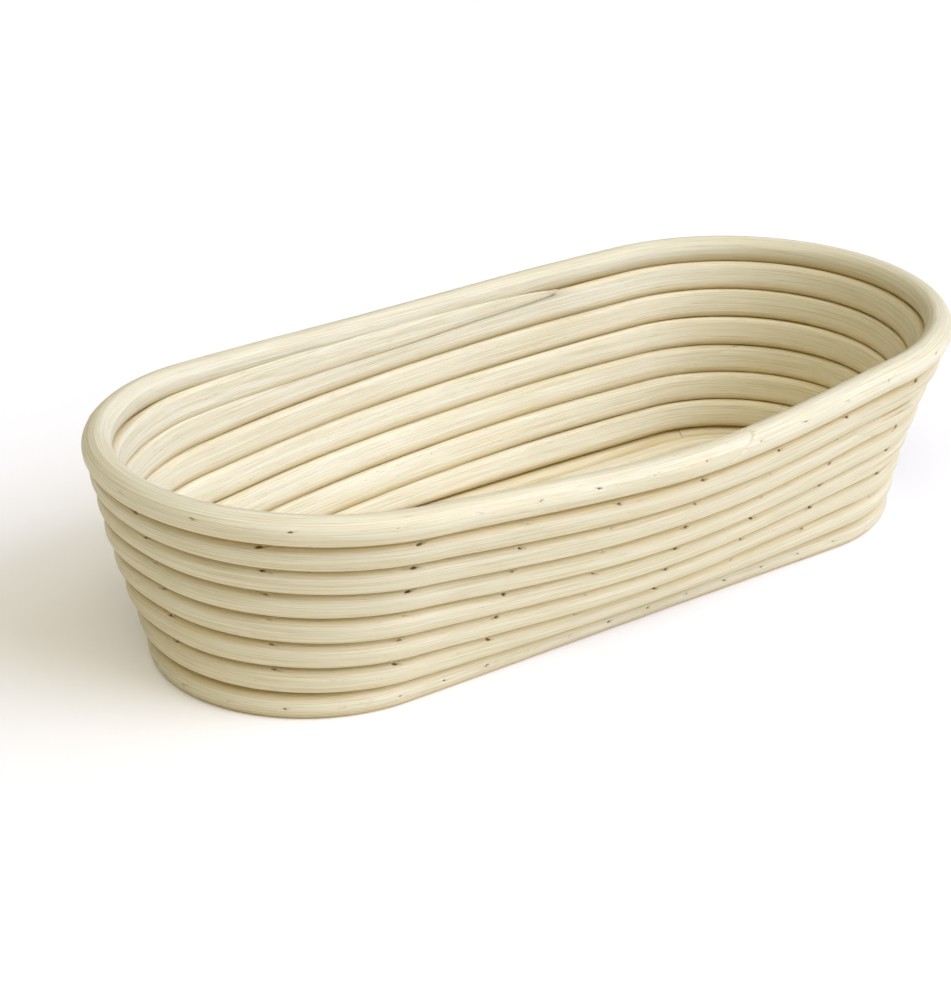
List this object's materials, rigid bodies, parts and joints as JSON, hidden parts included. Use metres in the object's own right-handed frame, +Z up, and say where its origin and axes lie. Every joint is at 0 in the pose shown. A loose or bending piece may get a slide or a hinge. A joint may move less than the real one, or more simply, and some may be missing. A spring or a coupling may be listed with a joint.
{
  "type": "proofing basket",
  "caption": "Long oval dough proofing basket of peeled round cane: a flat cane floor, a leaning spiral wall with tapered ends and a rim ring of much the same cane, nailed with sunk wire brads.",
  "frame": {"origin": "on the ground under the middle of the floor", "axes": "+X along the basket, +Y across it, +Z up"},
  "size_m": [0.3256, 0.168, 0.077],
  "materials": {
    "cane": "dry peeled cane, matt with a slight sheen",
    "rim_cane": "dry peeled cane, matt with a slight sheen",
    "brad_steel": "bright wire"
  },
  "bodies": {
    "root": {"floor_loop_1": "cane", "floor_loop_2": "cane", "floor_loop_3": "cane", "floor_loop_4": "cane", "base_ring": "cane", "wall_cane_1": "cane", "wall_cane_2": "cane", "wall_cane_3": "cane", "rim_ring": "rim_cane", "floor_brads_1": "brad_steel", "floor_brads_2": "brad_steel", "floor_brads_3": "brad_steel", "base_brads": "brad_steel", "wall_brads_1": "brad_steel", "wall_brads_2": "brad_steel", "wall_brads_3": "brad_steel", "wall_brads_4": "brad_steel", "wall_brads_5": "brad_steel", "wall_brads_6": "brad_steel", "rim_brads": "brad_steel"}
  },
  "joints": []
}
